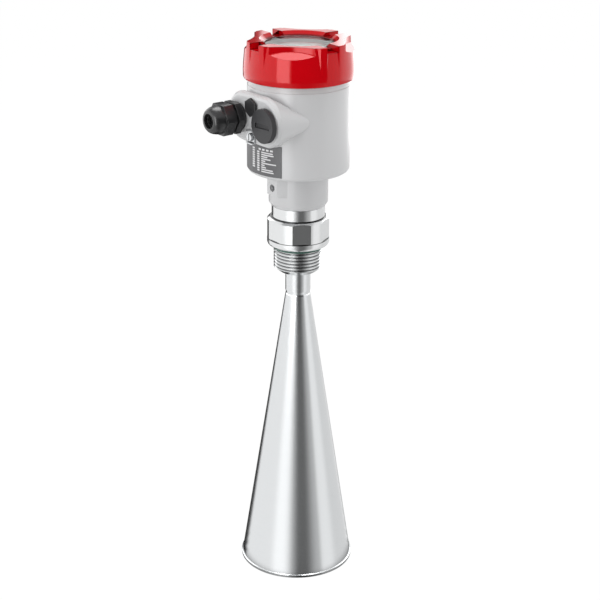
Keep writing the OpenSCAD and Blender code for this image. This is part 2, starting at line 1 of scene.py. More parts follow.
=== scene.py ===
# %% [markdown]
# # A radar level transmitter
# The imported CAD model is the frame. Every piece made here is placed by it, in metres, and rides on
# one of its bodies. The CAD model's own box is kept first, and the camera's height is measured from
# its foot.

# %% Load the frame
import math
import bmesh
import bpy
import numpy as np
from mathutils import Matrix, Vector


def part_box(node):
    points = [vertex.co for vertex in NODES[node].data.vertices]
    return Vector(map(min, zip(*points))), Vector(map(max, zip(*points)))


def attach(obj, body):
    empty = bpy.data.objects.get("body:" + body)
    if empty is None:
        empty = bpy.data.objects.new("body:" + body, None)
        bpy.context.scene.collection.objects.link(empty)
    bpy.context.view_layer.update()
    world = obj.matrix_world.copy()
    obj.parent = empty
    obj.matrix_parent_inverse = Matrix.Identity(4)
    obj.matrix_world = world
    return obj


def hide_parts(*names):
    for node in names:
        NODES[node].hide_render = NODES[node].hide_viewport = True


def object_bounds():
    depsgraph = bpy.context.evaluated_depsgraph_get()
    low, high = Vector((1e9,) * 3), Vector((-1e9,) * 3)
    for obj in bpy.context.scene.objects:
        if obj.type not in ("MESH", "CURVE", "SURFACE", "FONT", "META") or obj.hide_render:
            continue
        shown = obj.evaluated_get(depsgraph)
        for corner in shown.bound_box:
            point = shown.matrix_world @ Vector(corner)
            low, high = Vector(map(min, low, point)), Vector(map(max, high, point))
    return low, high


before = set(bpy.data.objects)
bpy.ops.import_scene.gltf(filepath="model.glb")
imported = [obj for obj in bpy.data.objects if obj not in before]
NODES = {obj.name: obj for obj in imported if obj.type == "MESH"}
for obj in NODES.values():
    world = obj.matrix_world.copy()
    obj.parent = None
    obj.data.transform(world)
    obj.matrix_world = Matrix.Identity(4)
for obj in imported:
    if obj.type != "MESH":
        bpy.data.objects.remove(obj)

CAD_BOX = [list(corner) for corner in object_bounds()]
print("CAD box", CAD_BOX, "nodes", len(NODES))

# %% [markdown]
# ## Camera
# A long lens looks slightly down on the instrument from the front. A camera could be aimed with a
# Track To constraint, but three direction vectors say exactly how it is turned: where it looks, and
# which way is right and up in its picture.

# %% Camera
CAMERA_DISTANCE = 0.9782
CAMERA_HEIGHT = 0.57436   # above the foot of the object
CAMERA_PLACE = Vector((0.0, -CAMERA_DISTANCE, CAD_BOX[0][2] + CAMERA_HEIGHT))
LENS = 91.03
LOOK_DOWN = 0.3682
YAW = 0.0016
ROLL = 0.0063   # this and the two turns above are in radians


def linked_object(name, data):
    """A new object with that data, linked into the scene."""
    made = bpy.data.objects.new(name, data)
    bpy.context.scene.collection.objects.link(made)
    return made


def camera_axes():
    """Right, up and backward directions: turned about Z by the yaw, tipped down, then rolled."""
    forward_flat = Vector((math.sin(YAW), math.cos(YAW), 0.0))
    right = Vector((math.cos(YAW), -math.sin(YAW), 0.0))
    forward = forward_flat * math.cos(LOOK_DOWN) - Vector((0, 0, math.sin(LOOK_DOWN)))
    up = forward_flat * math.sin(LOOK_DOWN) + Vector((0, 0, math.cos(LOOK_DOWN)))
    right_rolled = right * math.cos(ROLL) + up * math.sin(ROLL)
    up_rolled = up * math.cos(ROLL) - right * math.sin(ROLL)
    return right_rolled, up_rolled, -forward


camera_data = bpy.data.cameras.new("camera")
camera_data.lens = LENS
camera_data.sensor_width = 36.0
camera = linked_object("camera", camera_data)
axes = camera_axes()
camera.matrix_world = Matrix.Translation(CAMERA_PLACE) @ Matrix(
    [[axes[c][r] for c in range(3)] for r in range(3)]).to_4x4()
bpy.context.scene.camera = camera
bpy.context.scene.view_settings.view_transform = "Standard"
print("camera at", tuple(round(v, 4) for v in CAMERA_PLACE), "lens", camera_data.lens)

# %% [markdown]
# ## Node helpers
# Every finish is a small tree of shader nodes. These helpers keep a tree readable: one adds a node
# with its settings, and one starts a material that already holds a Principled BSDF.

# %% Node helpers


def add_node(tree, kind, settings=None, **values):
    """Adds a node, sets its properties from settings, and its input sockets from values."""
    made = tree.nodes.new(kind)
    for key, value in (settings or {}).items():
        setattr(made, key, value)
    for key, value in values.items():
        made.inputs[key.replace("_", " ")].default_value = value
    return made


def new_finish(name, **values):
    """A material with one Principled BSDF, its tree, and that shader node."""
    material = bpy.data.materials.new(name)
    material.use_nodes = True
    tree = material.node_tree
    shader = tree.nodes["Principled BSDF"]
    for key, value in values.items():
        shader.inputs[key.replace("_", " ")].default_value = value
    return material, tree, shader


def group_input(group, name, kind, value):
    """One named input socket on a node group, with its default."""
    socket = group.interface.new_socket(name=name, in_out="INPUT", socket_type=kind)
    socket.default_value = value


def uneven_gain(group, noise, strength):
    """(noise - 0.5) * strength, and the same plus 1, as two sockets: an offset and a gain."""
    centred = add_node(group, "ShaderNodeMath", {"operation": "SUBTRACT"})
    centred.inputs[1].default_value = 0.5
    group.links.new(noise, centred.inputs[0])
    amount = add_node(group, "ShaderNodeMath", {"operation": "MULTIPLY"})
    group.links.new(centred.outputs[0], amount.inputs[0])
    group.links.new(strength, amount.inputs[1])
    gain = add_node(group, "ShaderNodeMath", {"operation": "ADD"})
    gain.inputs[1].default_value = 1.0
    group.links.new(amount.outputs[0], gain.inputs[0])
    return amount.outputs[0], gain.outputs[0]


def scaled_colour(tree, colour, factor):
    """The colour socket times the factor socket."""
    made = add_node(tree, "ShaderNodeVectorMath", {"operation": "SCALE"})
    tree.links.new(colour, made.inputs[0])
    tree.links.new(factor, made.inputs["Scale"])
    return made.outputs["Vector"]


def place_group(tree, group, **values):
    """Puts a node group into a material's tree and sets its inputs."""
    made = tree.nodes.new("ShaderNodeGroup")
    made.node_tree = group
    for key, value in values.items():
        made.inputs[key.replace("_", " ")].default_value = value
    return made


print("helpers ready")

# %% [markdown]
# ## Two effects that several finishes share
# Moulded plastic has a fine orange-peel skin and a slightly uneven colour, and painted shade
# darkens its colour in its corners and along its edges. Turned steel has very fine rings round its
# axis, and painted shade darkens its inner corners. Each effect is a node group with named inputs,
# so every material can place it with its own scale and strength.

# %% Effect: moulded skin


def moulded_skin_group():
    """Cloudy colour, patchy roughness and a fine bump, from noise on Object coordinates.

    Ambient occlusion, from outside and inside the surface, paints shade into corners and edges.
    """
    group = bpy.data.node_groups.new("moulded_skin", "ShaderNodeTree")
    group_input(group, "Colour", "NodeSocketColor", (0.5, 0.5, 0.5, 1))
    group_input(group, "Variation", "NodeSocketFloat", 0.04)
    group_input(group, "Roughness", "NodeSocketFloat", 0.4)
    group_input(group, "Grain Scale", "NodeSocketFloat", 1500.0)
    group_input(group, "Grain Height", "NodeSocketFloat", 0.00002)
    group_input(group, "Edge Reach", "NodeSocketFloat", 0.0008)
    group_input(group, "Edge Shade", "NodeSocketFloat", 1.0)
    for name, kind in (("Colour", "NodeSocketColor"), ("Roughness", "NodeSocketFloat"),
                       ("Normal", "NodeSocketVector")):
        group.interface.new_socket(name=name, in_out="OUTPUT", socket_type=kind)
    enter = group.nodes.new("NodeGroupInput")
    leave = group.nodes.new("NodeGroupOutput")
    link = group.links.new
    place = group.nodes.new("ShaderNodeTexCoord")
    cloud = add_node(group, "ShaderNodeTexNoise", Scale=38.0, Detail=4.0)
    link(place.outputs["Object"], cloud.inputs["Vector"])
    _, gain = uneven_gain(group, cloud.outputs["Fac"], enter.outputs["Variation"])
    colour_now = scaled_colour(group, enter.outputs["Colour"], gain)
    # Painted shade: the colour is darkened where ambient occlusion finds corners and edges.
    for inside in (False, True):
        edges = add_node(group, "ShaderNodeAmbientOcclusion",
                         {"samples": 6, "inside": inside, "only_local": True})
        link(enter.outputs["Edge Reach"], edges.inputs["Distance"])
        keep = add_node(group, "ShaderNodeMapRange", From_Min=0.45, From_Max=0.85)
        link(edges.outputs["AO"], keep.inputs["Value"])
        link(enter.outputs["Edge Shade"], keep.inputs["To Min"])
        colour_now = scaled_colour(group, colour_now, keep.outputs["Result"])
    link(colour_now, leave.inputs["Colour"])
    rough = add_node(group, "ShaderNodeMath", {"operation": "MULTIPLY"})
    link(enter.outputs["Roughness"], rough.inputs[0])
    link(gain, rough.inputs[1])
    link(rough.outputs[0], leave.inputs["Roughness"])
    grain = add_node(group, "ShaderNodeTexNoise", Detail=2.0)
    link(place.outputs["Object"], grain.inputs["Vector"])
    link(enter.outputs["Grain Scale"], grain.inputs["Scale"])
    bump = add_node(group, "ShaderNodeBump", Strength=1.0)
    link(enter.outputs["Grain Height"], bump.inputs["Distance"])
    link(grain.outputs["Fac"], bump.inputs["Height"])
    link(bump.outputs["Normal"], leave.inputs["Normal"])
    return group


MOULDED_SKIN = moulded_skin_group()
print("group", MOULDED_SKIN.name, "with", len(MOULDED_SKIN.nodes), "nodes")

# %% Effect: turned rings


def turned_rings_group():
    """Fine rings round Z, from noise stretched round the axis, and painted shade in inner corners.
    """
    group = bpy.data.node_groups.new("turned_rings", "ShaderNodeTree")
    group_input(group, "Colour", "NodeSocketColor", (0.7, 0.7, 0.7, 1))
    group_input(group, "Roughness", "NodeSocketFloat", 0.2)
    group_input(group, "Rings", "NodeSocketFloat", 2500.0)
    group_input(group, "Streak", "NodeSocketFloat", 0.08)
    group_input(group, "Corner Shade Reach", "NodeSocketFloat", 0.0013)
    for name, kind in (("Colour", "NodeSocketColor"), ("Roughness", "NodeSocketFloat"),
                       ("Normal", "NodeSocketVector")):
        group.interface.new_socket(name=name, in_out="OUTPUT", socket_type=kind)
    enter = group.nodes.new("NodeGroupInput")
    leave = group.nodes.new("NodeGroupOutput")
    link = group.links.new
    place = group.nodes.new("ShaderNodeTexCoord")
    stretch = add_node(group, "ShaderNodeMapping", {"vector_type": "POINT"})
    stretch.inputs["Scale"].default_value = (0.03, 0.03, 1.0)
    link(place.outputs["Object"], stretch.inputs["Vector"])
    rings = add_node(group, "ShaderNodeTexNoise", Detail=3.0)
    link(stretch.outputs["Vector"], rings.inputs["Vector"])
    link(enter.outputs["Rings"], rings.inputs["Scale"])
    offset, gain = uneven_gain(group, rings.outputs["Fac"], enter.outputs["Streak"])
    tint = scaled_colour(group, enter.outputs["Colour"], gain)
    # Painted shade: ambient occlusion darkens the colour in the inner corners.
    corners = add_node(group, "ShaderNodeAmbientOcclusion", {"samples": 8})
    link(enter.outputs["Corner Shade Reach"], corners.inputs["Distance"])
    corner_shade = add_node(group, "ShaderNodeMapRange", From_Min=0.3, From_Max=0.85, To_Min=0.22,
                     To_Max=1.0)
    link(corners.outputs["AO"], corner_shade.inputs["Value"])
    link(scaled_colour(group, tint, corner_shade.outputs["Result"]), leave.inputs["Colour"])
    rough = add_node(group, "ShaderNodeMath", {"operation": "ADD"})
    link(enter.outputs["Roughness"], rough.inputs[0])
    link(offset, rough.inputs[1])
    link(rough.outputs[0], leave.inputs["Roughness"])
    bump = add_node(group, "ShaderNodeBump", Strength=0.25, Distance=0.00001)
    link(rings.outputs["Fac"], bump.inputs["Height"])
    link(bump.outputs["Normal"], leave.inputs["Normal"])
    return group


TURNED_RINGS = turned_rings_group()
print("group", TURNED_RINGS.name, "with", len(TURNED_RINGS.nodes), "nodes")

# %% [markdown]
# ## Finishes
# The constants, such as specular level and tint, are set on each shader's own sockets. The groups
# feed only the colour, the roughness and the normal.

# %% Plastic and rubber finishes


def plastic(name, colour, roughness, variation=0.03, grain_scale=1500.0, grain=0.00001,
            edge_shade=1.0, edge_reach=0.0008, **values):
    """Moulded plastic or rubber: the moulded skin drives colour, roughness and normal.

    The edge shade is how much of its colour the plastic keeps under the painted shade in corners
    and along edges, and the edge reach is how far in metres that goes.
    """
    material, tree, shader = new_finish(name, **values)
    skin = place_group(tree, MOULDED_SKIN, Colour=(*colour, 1), Variation=variation,
                       Roughness=roughness, Grain_Scale=grain_scale, Grain_Height=grain,
                       Edge_Shade=edge_shade, Edge_Reach=edge_reach)
    tree.links.new(skin.outputs["Colour"], shader.inputs["Base Color"])
    tree.links.new(skin.outputs["Roughness"], shader.inputs["Roughness"])
    tree.links.new(skin.outputs["Normal"], shader.inputs["Normal"])
    return material


LID_RED = plastic("lid_red", (0.50, 0.0005, 0.004), 0.09, 0.03, 900.0, 0.000002,
                  edge_shade=0.35, edge_reach=0.0012, Specular_Tint=(1.0, 0.42, 0.42, 1))
HOUSING_GREY = plastic("housing_grey", (0.525, 0.527, 0.534), 0.30, 0.02, 1600.0, 0.000006,
                       Specular_IOR_Level=0.5)
GLAND_BLACK = plastic("gland_black", (0.015, 0.015, 0.016), 0.29, 0.10, 1400.0, 0.000012,
                      Specular_IOR_Level=0.5)
PLUG_GREY = plastic("plug_grey", (0.024, 0.024, 0.026), 0.40, 0.06, 1400.0, 0.000014,
                    Specular_IOR_Level=0.3)
SEAL_BLACK = plastic("seal_black", (0.018, 0.018, 0.019), 0.6, 0.08, 1800.0, 0.00001)
GASKET_GREEN = plastic("gasket_green", (0.022, 0.085, 0.062), 0.55, 0.10, 1200.0, 0.00002)
PLATE_GREY = plastic("plate_grey", (0.082, 0.082, 0.086), 0.45, 0.04, 2200.0, 0.000003)
PRINT_LIGHT = plastic("print_light", (0.62, 0.62, 0.63), 0.5, 0.05, 2200.0, 0.000002)
RETAINER_GREY = plastic("retainer_grey", (0.30, 0.30, 0.295), 0.5, 0.04)
MODULE_BLACK = plastic("module_black", (0.03, 0.03, 0.032), 0.45, 0.06)
TERMINAL_BLUE = plastic("terminal_blue", (0.16, 0.20, 0.26), 0.45, 0.05)
DISPLAY_GREY = plastic("display_grey", (0.40, 0.405, 0.40), 0.45, 0.03, Specular_IOR_Level=0.2)
SCREEN_GREEN = plastic("screen_green", (0.40, 0.46, 0.40), 0.12, 0.05, 4000.0, 0.000001)
KEY_DARK = plastic("key_dark", (0.10, 0.10, 0.105), 0.4, 0.05)
FEED_WHITE = plastic("feed_white", (0.86, 0.86, 0.84), 0.35, 0.03)
print("plastic finishes", len(bpy.data.materials))

# %% Metal finishes and glass


def metal(name, colour, roughness, rings, streak, shadow_lines=()):
    """Turned or rolled metal: rings, painted shade in corners and painted shadow lines round Z.

    Each line is (height, half width) in metres: painted shadow for an unmodelled undercut.
    """
    material, tree, shader = new_finish(name, Metallic=1.0)
    turned = place_group(tree, TURNED_RINGS, Colour=(*colour, 1), Roughness=roughness,
                         Rings=rings, Streak=streak)
    colour_now = turned.outputs["Colour"]
    if shadow_lines:
        place = tree.nodes.new("ShaderNodeTexCoord")
        axes_apart = tree.nodes.new("ShaderNodeSeparateXYZ")
        tree.links.new(place.outputs["Object"], axes_apart.inputs["Vector"])
    # Painted shadow: the colour is darkened in a thin band round Z at each line's height.
    for height, half_width in shadow_lines:
        near_shadow_line = add_node(tree, "ShaderNodeMath", {"operation": "COMPARE"})
        near_shadow_line.inputs[1].default_value = height
        near_shadow_line.inputs[2].default_value = half_width
        keep = add_node(tree, "ShaderNodeMapRange", To_Min=1.0, To_Max=0.2)
        tree.links.new(axes_apart.outputs["Z"], near_shadow_line.inputs[0])
        tree.links.new(near_shadow_line.outputs[0], keep.inputs["Value"])
        colour_now = scaled_colour(tree, colour_now, keep.outputs["Result"])
    tree.links.new(colour_now, shader.inputs["Base Color"])
    tree.links.new(turned.outputs["Roughness"], shader.inputs["Roughness"])
    tree.links.new(turned.outputs["Normal"], shader.inputs["Normal"])
    return material


# Painted shadow lines, in place of undercut grooves that are not modelled:
# Where the collar meets the hexagon, where the neck starts, and under the collar.
FITTING_SHADOW_LINES = ((0.00682, 0.00022), (0.02205, 0.00045), (0.0017, 0.0003))

HORN_STEEL = metal("horn_steel", (0.71, 0.725, 0.735), 0.20, 1800.0, 0.05)
TURNED_STEEL = metal("turned_steel", (0.74, 0.75, 0.755), 0.17, 3000.0, 0.06,
                     shadow_lines=FITTING_SHADOW_LINES)
PLATED = metal("plated", (0.50, 0.51, 0.52), 0.28, 2500.0, 0.08)

GLASS, glass_tree, glass_shader = new_finish(
    "window_glass", Roughness=0.02, IOR=1.12, Transmission_Weight=1.0,
    Base_Color=(0.93, 0.96, 0.96, 1))
dust = add_node(glass_tree, "ShaderNodeTexNoise", Scale=120.0, Detail=3.0)
dust_place = glass_tree.nodes.new("ShaderNodeTexCoord")
glass_tree.links.new(dust_place.outputs["Object"], dust.inputs["Vector"])
dust_range = add_node(glass_tree, "ShaderNodeMapRange", To_Min=0.0, To_Max=0.03)
glass_tree.links.new(dust.outputs["Fac"], dust_range.inputs["Value"])
glass_tree.links.new(dust_range.outputs["Result"], glass_shader.inputs["Roughness"])
print("metal finishes", 3, "and glass")

# %% [markdown]
# ## Dress the CAD nodes
# A CAD node whose shape is right keeps its mesh and only gets a better material. This table says
# which finish each node has.

# %% Finish of each node
FINISH_OF = {
    "horn_antenna": HORN_STEEL, "feed_cone": FEED_WHITE, "feed_seal": SEAL_BLACK,
    "waveguide": PLATED, "process_fitting": TURNED_STEEL, "process_seal": GASKET_GREEN,
    "neck_seal": SEAL_BLACK, "retaining_ring": PLATED, "housing": HOUSING_GREY,
    "lock_screw": PLATED, "type_plate": PLATE_GREY, "ground_clamp": PLATED,
    "ground_screw": PLATED, "breather_cap": GLAND_BLACK, "breather_seal": SEAL_BLACK,
    "gland_body": GLAND_BLACK, "gland_body_seal": SEAL_BLACK, "gland_insert": SEAL_BLACK,
    "gland_nut": GLAND_BLACK, "plug_seal": SEAL_BLACK, "blind_plug": PLUG_GREY,
    "electronics_module": MODULE_BLACK, "electronics_screws": PLATED,
    "terminal_block": TERMINAL_BLUE, "terminal_screws": PLATED, "inner_ground_screw": PLATED,
    "display_module": DISPLAY_GREY, "display_screen": SCREEN_GREEN, "key_1": KEY_DARK,
    "key_2": KEY_DARK, "key_3": KEY_DARK, "key_4": KEY_DARK, "lid_seal": SEAL_BLACK,
    "lid": LID_RED, "window_glass": GLASS, "window_gasket": SEAL_BLACK,
    "window_retainer": RETAINER_GREY}
for node_name, finish in FINISH_OF.items():
    mesh = NODES[node_name].data
    mesh.materials.clear()
    mesh.materials.append(finish)
print("dressed", len(FINISH_OF), "of", len(NODES), "nodes")

# %% [markdown]
# ## Moulded edges
# A moulded or turned edge is never a razor: it has a radius of a few tenths, and that radius
# catches the light as a thin bright line. The CAD solids have sharp edges there. A copy of each
# such node is merged, its flat faces are dissolved into whole ones, and a Bevel modifier rounds
# what is sharper than the limit. The copy then stands for the node. On the lid the notch between
# the two ribs of each pair is first carried on through the window's ring, by an exact boolean.

# %% Softened copies


JOIN_DISTANCE = 2e-6
FLAT_WITHIN = 0.5   # degrees between faces that are dissolved into one


def box_cutter(start, size, turn):
    """A box from its lowest corner and its size, in metres, turned about Z by degrees."""
    corners = np.array([[x, y, z] for z in (0, 1) for x, y in ((0, 0), (1, 0), (1, 1), (0, 1))])
    corners = np.array(start) + corners * np.array(size)
    c, n = math.cos(math.radians(turn)), math.sin(math.radians(turn))
    corners[:, :2] = corners[:, :2] @ np.array([[c, n], [-n, c]])
    mesh = bpy.data.meshes.new("cutter")
    mesh.from_pydata(corners, [], [[3, 2, 1, 0], [4, 5, 6, 7], [0, 1, 5, 4], [1, 2, 6, 5],
                                   [2, 3, 7, 6], [3, 0, 4, 7]])
    return linked_object("cutter", mesh)


def merged(mesh):
    """A BMesh of that mesh, with the doubled points of its loose triangles joined."""
    shell = bmesh.new()
    shell.from_mesh(mesh)
    bmesh.ops.remove_doubles(shell, verts=shell.verts, dist=JOIN_DISTANCE)
    return shell


def cut_mesh(mesh, cutters):
    """The merged mesh less all the cutters, by exact booleans that are applied at once."""
    joined = bpy.data.meshes.new("joined")
    shell = merged(mesh)
    shell.to_mesh(joined)
    shell.free()
    blank = linked_object("blank", joined)
    for cutter in cutters:
        cut = blank.modifiers.new("cut", "BOOLEAN")
        cut.operation = "DIFFERENCE"
        cut.solver = "EXACT"
        cut.object = cutter
    bpy.context.view_layer.update()
    ready = blank.evaluated_get(bpy.context.evaluated_depsgraph_get())
    result = bpy.data.meshes.new_from_object(ready)
    for used in [blank] + list(cutters):
        bpy.data.objects.remove(used)
    return result


def softened_copy(node_name, body, radius, limit=32.0, segments=2, cutters=()):
    """A merged copy of a CAD node with its sharp edges rounded to that radius in metres."""
    source = NODES[node_name].data
    shell = merged(cut_mesh(source, cutters) if cutters else source)
    bmesh.ops.dissolve_limit(shell, angle_limit=math.radians(FLAT_WITHIN), verts=shell.verts,
                             edges=shell.edges)
    places = np.array([v.co[:] for v in shell.verts])
    faces = [[v.index for v in face.verts] for face in shell.faces]
    shell.free()
    mesh = bpy.data.meshes.new(node_name + "_softened")
    mesh.from_pydata(places, [], faces)
    mesh.shade_smooth()
    mesh.set_sharp_from_angle(angle=math.radians(limit))
    mesh.materials.append(FINISH_OF[node_name])
    made = linked_object(node_name + "_softened", mesh)
    edge = made.modifiers.new("edge_radius", "BEVEL")
    edge.width = radius
    edge.segments = segments
    edge.limit_method = "ANGLE"
    edge.angle_limit = math.radians(limit)
    edge.harden_normals = True
    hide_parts(node_name)
    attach(made, body)
    print(made.name, len(faces), "faces from", len(source.polygons))


NOTCH_START = 0.0229   # just outside the window, from the axis
NOTCH_LENGTH, NOTCH_WIDTH, NOTCH_HEIGHT = 0.0063, 0.0091, 0.004
NOTCH_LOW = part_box("lid")[0][2] + 0.02295
ring_cutters = [box_cutter((NOTCH_START, -NOTCH_WIDTH / 2, NOTCH_LOW),
                           (NOTCH_LENGTH, NOTCH_WIDTH, NOTCH_HEIGHT), turn)
                for turn in (-143, -53, 37, 127)]
softened_copy("lid", "lid", 0.00045, limit=28.0, segments=3, cutters=ring_cutters)
softened_copy("gland_nut", "gland_nut", 0.00035)
softened_copy("gland_body", "housing", 0.00035)
softened_copy("blind_plug", "blind_plug", 0.00030)
softened_copy("breather_cap", "housing", 0.00030)

# %% [markdown]
# ## Plain bars on the type plate
# The plate is a dark sheet that follows the round wall. In place of any wording it gets plain light
# bars, laid out as on such plates: two columns of short marks on its left and rows on its right.
# Each bar is a small patch of a cylinder, so that it follows the wall too.

# %% Bars
HOUSING_RADIUS = 0.034
PLATE_SKIN = HOUSING_RADIUS + 0.0004
PLATE_MIDDLE = -145.0   # degrees from +X
PLATE_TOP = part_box("type_plate")[1][2]
PRINT_SUNK, PRINT_THICK = 0.00004, 0.00007


def bar_patches(bars, radius, thick, steps=6):
    """Patches of a cylinder: each bar is (start angle, end angle, low, high), angles in degrees."""
    start, end, low, high = np.array(bars, dtype=float).T
    along = np.linspace(0, 1, steps)[None, :]
    angle = np.radians(start[:, None] + (end - start)[:, None] * along)
    across, up = np.cos(angle), np.sin(angle)
    shells = []
    for r, z in ((radius + thick, low), (radius + thick, high), (radius, high), (radius, low)):
        shells.append(np.stack([r * across, r * up, np.broadcast_to(z[:, None], angle.shape)],
                               axis=-1))
    return np.stack(shells, axis=2)


def bars_mesh(name, points, material):
    """One mesh from (bars, steps, 4, 3) points: each bar is a closed four-sided strip."""
    count, steps = points.shape[:2]
    first = (np.arange(count) * steps * 4)[:, None, None]
    along = (np.arange(steps - 1) * 4)[None, :, None]
    side = np.arange(4)[None, None, :]
    after = (side + 1) % 4
    walls = np.stack([first + along + side, first + along + 4 + side,
                      first + along + 4 + after, first + along + after], axis=-1).reshape(-1, 4)
    start_cap = (first[:, 0] + np.array([0, 1, 2, 3])).tolist()
    end_cap = (first[:, 0] + (steps - 1) * 4 + np.array([3, 2, 1, 0])).tolist()
    mesh = bpy.data.meshes.new(name)
    mesh.from_pydata(points.reshape(-1, 3), [], walls.tolist() + start_cap + end_cap)
    mesh.materials.append(material)
    mesh.update()
    return linked_object(name, mesh)


def bar(start, end, drop, height):
    """One bar from its two angles off the plate's middle, its drop from the top and its height."""
    high = PLATE_TOP - drop
    return (PLATE_MIDDLE + start, PLATE_MIDDLE + end, high - height, high)


MARK_STEP, MARK_HEIGHT, MARK_COUNT = 0.00155, 0.0010, 9
ROW_STEP, ROW_HEIGHT, ROW_DROP, ROW_START = 0.00142, 0.0008, 0.0050, 10.3
ROW_ENDS = (26, 27, 19, 23, 16, 30, 15, 17, 26, 27)
HEADER_WIDTH, HEADER_DROP, HEADER_HEIGHT = 3.6, 0.0029, 0.0012
HEADER_STARTS = (6.0, 11.5, 17.0, 22.5)
marks = [bar(start, end, drop + i * MARK_STEP, MARK_HEIGHT)
         for start, end, drop in ((-5.8, -1.2, 0.0035), (3.4, 7.2, 0.0050))
         for i in range(MARK_COUNT)]
rows = [bar(ROW_START, end, ROW_DROP + i * ROW_STEP, ROW_HEIGHT)
        for i, end in enumerate(ROW_ENDS)]
header = [bar(start, start + HEADER_WIDTH, HEADER_DROP, HEADER_HEIGHT)
          for start in HEADER_STARTS]
all_bars = marks + rows + header
bar_points = bar_patches(all_bars, PLATE_SKIN - PRINT_SUNK, PRINT_THICK)
plate_bars = bars_mesh("plate_bars", bar_points, PRINT_LIGHT)
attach(plate_bars, "housing")
print("bars", len(all_bars))

# %% [markdown]
# ## Studio: floor and world
# The instrument stands on a white floor under a white sky. For the camera and in reflections both
# are plain white, through Light Path, and the floor still takes a little of the object's shadow.

# %% World and floor
FLOOR_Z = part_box("horn_antenna")[0][2]


def seen_directly(tree):
    """1 for camera, glossy and transmission rays, 0 for the rays that only carry light."""
    rays = tree.nodes.new("ShaderNodeLightPath")
    first = add_node(tree, "ShaderNodeMath", {"operation": "MAXIMUM"})
    second = add_node(tree, "ShaderNodeMath", {"operation": "MAXIMUM"})
    tree.links.new(rays.outputs["Is Camera Ray"], first.inputs[0])
    tree.links.new(rays.outputs["Is Glossy Ray"], first.inputs[1])
    tree.links.new(first.outputs[0], second.inputs[0])
    tree.links.new(rays.outputs["Is Transmission Ray"], second.inputs[1])
    return second.outputs[0]


world = bpy.data.worlds.new("studio")
world.use_nodes = True
bpy.context.scene.world = world
sky_tree = world.node_tree
sky = sky_tree.nodes["Background"]
sky.inputs["Color"].default_value = (1, 1, 1, 1)
sky_level = add_node(sky_tree, "ShaderNodeMapRange", To_Min=0.62, To_Max=1.0)
sky_tree.links.new(seen_directly(sky_tree), sky_level.inputs["Value"])
sky_tree.links.new(sky_level.outputs["Result"], sky.inputs["Strength"])

floor_finish, floor_tree, floor_shader = new_finish(
    "floor_white", Roughness=0.9, Base_Color=(0.92, 0.92, 0.92, 1), Specular_IOR_Level=0.0)
floor_glow = add_node(floor_tree, "ShaderNodeEmission", Strength=1.02)
floor_share = add_node(floor_tree, "ShaderNodeMath", {"operation": "MULTIPLY"})
floor_share.inputs[1].default_value = 0.95
floor_mix = floor_tree.nodes.new("ShaderNodeMixShader")
floor_tree.links.new(seen_directly(floor_tree), floor_share.inputs[0])
floor_tree.links.new(floor_share.outputs[0], floor_mix.inputs["Fac"])
floor_tree.links.new(floor_shader.outputs["BSDF"], floor_mix.inputs[1])
floor_tree.links.new(floor_glow.outputs["Emission"], floor_mix.inputs[2])
floor_tree.links.new(floor_mix.outputs["Shader"],
                     floor_tree.nodes["Material Output"].inputs["Surface"])


def grid_mesh(name, points, material, closed=False, smooth=True):
    """A surface from a (rows, columns, 3) array; closed joins the last row to the first."""
    rows, columns = points.shape[:2]
    a, b = np.meshgrid(np.arange(rows if closed else rows - 1), np.arange(columns - 1),
                       indexing="ij")
    a_next, b_next = (a + 1) % rows, b + 1
    faces = np.stack([a * columns + b, a_next * columns + b,
                      a_next * columns + b_next, a * columns + b_next], axis=-1).reshape(-1, 4)
    mesh = bpy.data.meshes.new(name)
    mesh.from_pydata(points.reshape(-1, 3), [], faces.tolist())
    mesh.polygons.foreach_set("use_smooth", np.full(len(faces), smooth))
    mesh.materials.append(material)
    mesh.update()
    return linked_object(name, mesh)


FLOOR_REACH, FLOOR_GAP = 3.0, 0.0002
floor_ends = [-FLOOR_REACH, FLOOR_REACH]
floor_x, floor_y = np.meshgrid(floor_ends, floor_ends, indexing="ij")
floor_points = np.stack([floor_x, floor_y, floor_x * 0 + FLOOR_Z - FLOOR_GAP], axis=-1)
floor = grid_mesh("floor", floor_points, floor_finish, smooth=False)
print("floor at", round(FLOOR_Z, 4))

# %% [markdown]
# ## Studio: what the gloss mirrors
# Polished steel and glossy plastic look like their surroundings. A photographer places strip lamps,
# white boards and black cards round the object for that. Here they are one round wall that only
# glossy rays can see. Its brightness is a function of the azimuth, stored on its points: each soft
# window pulls a base level towards its own. The lower wall with the floor round the rim, which the
# steel mirrors, and the upper wall, which the lid mirrors, have windows of their own.

# %% Reflection walls


def gloss_only(thing):
    """Hides that object from every ray but the glossy ones."""
    for kind in ("camera", "diffuse", "transmission", "volume_scatter", "shadow"):
        setattr(thing, "visible_" + kind, False)


def soft_window(angle, start, end, soft_start, soft_end):
    """1 between start and end, fading to 0 over soft_start before and soft_end after."""
    rise = np.clip((angle - start) / soft_start + 1, 0, 1)
    fall = np.clip((end - angle) / soft_end + 1, 0, 1)
    both = np.minimum(rise, fall)
    return both * both * (3 - 2 * both)


